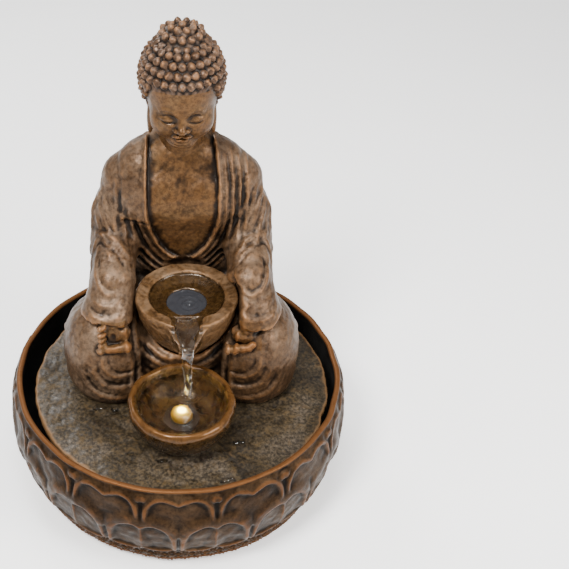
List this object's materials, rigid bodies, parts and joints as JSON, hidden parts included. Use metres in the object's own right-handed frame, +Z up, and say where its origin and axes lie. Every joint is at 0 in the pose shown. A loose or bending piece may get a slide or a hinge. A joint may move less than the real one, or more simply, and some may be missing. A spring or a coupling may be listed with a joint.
{
  "type": "tabletop water fountain",
  "caption": "Lotus basin with a lift-out deck carrying a seated figure, two stepped bowls, a lamp, and a hidden pump and supply tube that feed the upper bowl.",
  "frame": {"origin": "on the table under the middle of the basin", "axes": "+Z up, the figure faces -Y, +X to the figure's left hand"},
  "size_m": [0.205, 0.2062, 0.2795],
  "materials": {
    "basin_resin": "cast resin with a rubbed bronze patina, satin",
    "deck_resin": "cast resin like wet pitted stone with a bronze patina",
    "figure_resin": "cast resin with a rubbed bronze patina, satin",
    "bowl_resin": "cast resin with a copper patina, wet and half gloss",
    "black_plastic": "moulded, matt",
    "grey_plastic": "moulded, matt",
    "rubber": "soft moulded rubber",
    "clear_vinyl": "clear and flexible",
    "lamp_lens": "warm white dome, lit",
    "lamp_chip": "warm white emitter",
    "ferrite": "sintered magnet",
    "steel": "laminations",
    "copper": "enamelled copper winding",
    "ceramic": "polished shaft",
    "foam": "open cell filter foam",
    "board": "lamp circuit board"
  },
  "bodies": {
    "basin": {"basin": "basin_resin", "cord_grommet": "rubber", "lead_gland": "rubber", "pump_housing": "black_plastic", "pump_rear_cap": "black_plastic", "stator_core": "steel", "stator_coil": "copper", "rotor_shaft": "ceramic", "rear_bush": "rubber", "front_bush": "rubber", "volute_cover": "grey_plastic", "shaft_retainer": "grey_plastic", "outlet_adapter": "grey_plastic", "rubber_foot_1": "rubber", "rubber_foot_2": "rubber", "rubber_foot_3": "rubber", "rubber_foot_4": "rubber", "suction_cup_1": "clear_vinyl", "suction_cup_2": "clear_vinyl", "suction_cup_3": "clear_vinyl", "suction_cup_4": "clear_vinyl"},
    "deck": {"deck_plate": "deck_resin", "figure_body": "figure_resin", "figure_head": "figure_resin", "upper_bowl": "bowl_resin", "lower_bowl": "bowl_resin", "bowl_nozzle": "black_plastic", "supply_tube": "clear_vinyl", "lamp_gasket": "rubber", "lamp_housing": "black_plastic", "lamp_board": "board", "lamp_emitter": "lamp_chip", "lamp_lens": "lamp_lens", "lamp_lead": "rubber"},
    "impeller": {"impeller": "grey_plastic", "rotor_magnet": "ferrite"},
    "strainer": {"strainer_cover": "black_plastic", "filter_foam": "foam"},
    "dial": {"flow_dial": "grey_plastic"}
  },
  "joints": [
    {"name": "deck_lift", "type": "slide", "parent": "basin", "child": "deck", "axis": [0, 0, 1], "range_m": [0, 0.1], "deforming": ["lamp_lead"]},
    {"name": "impeller_spin", "type": "hinge", "parent": "basin", "child": "impeller", "pos_m": [0.0048, 0, 0.027], "axis": [0, 1, 0], "continuous": true},
    {"name": "strainer_pull", "type": "slide", "parent": "basin", "child": "strainer", "axis": [0, -1, 0], "range_m": [0, 0.024]},
    {"name": "dial_turn", "type": "hinge", "parent": "strainer", "child": "dial", "pos_m": [0.0048, -0.021, 0.027], "axis": [0, -1, 0], "range_deg": [0, 60]}
  ]
}
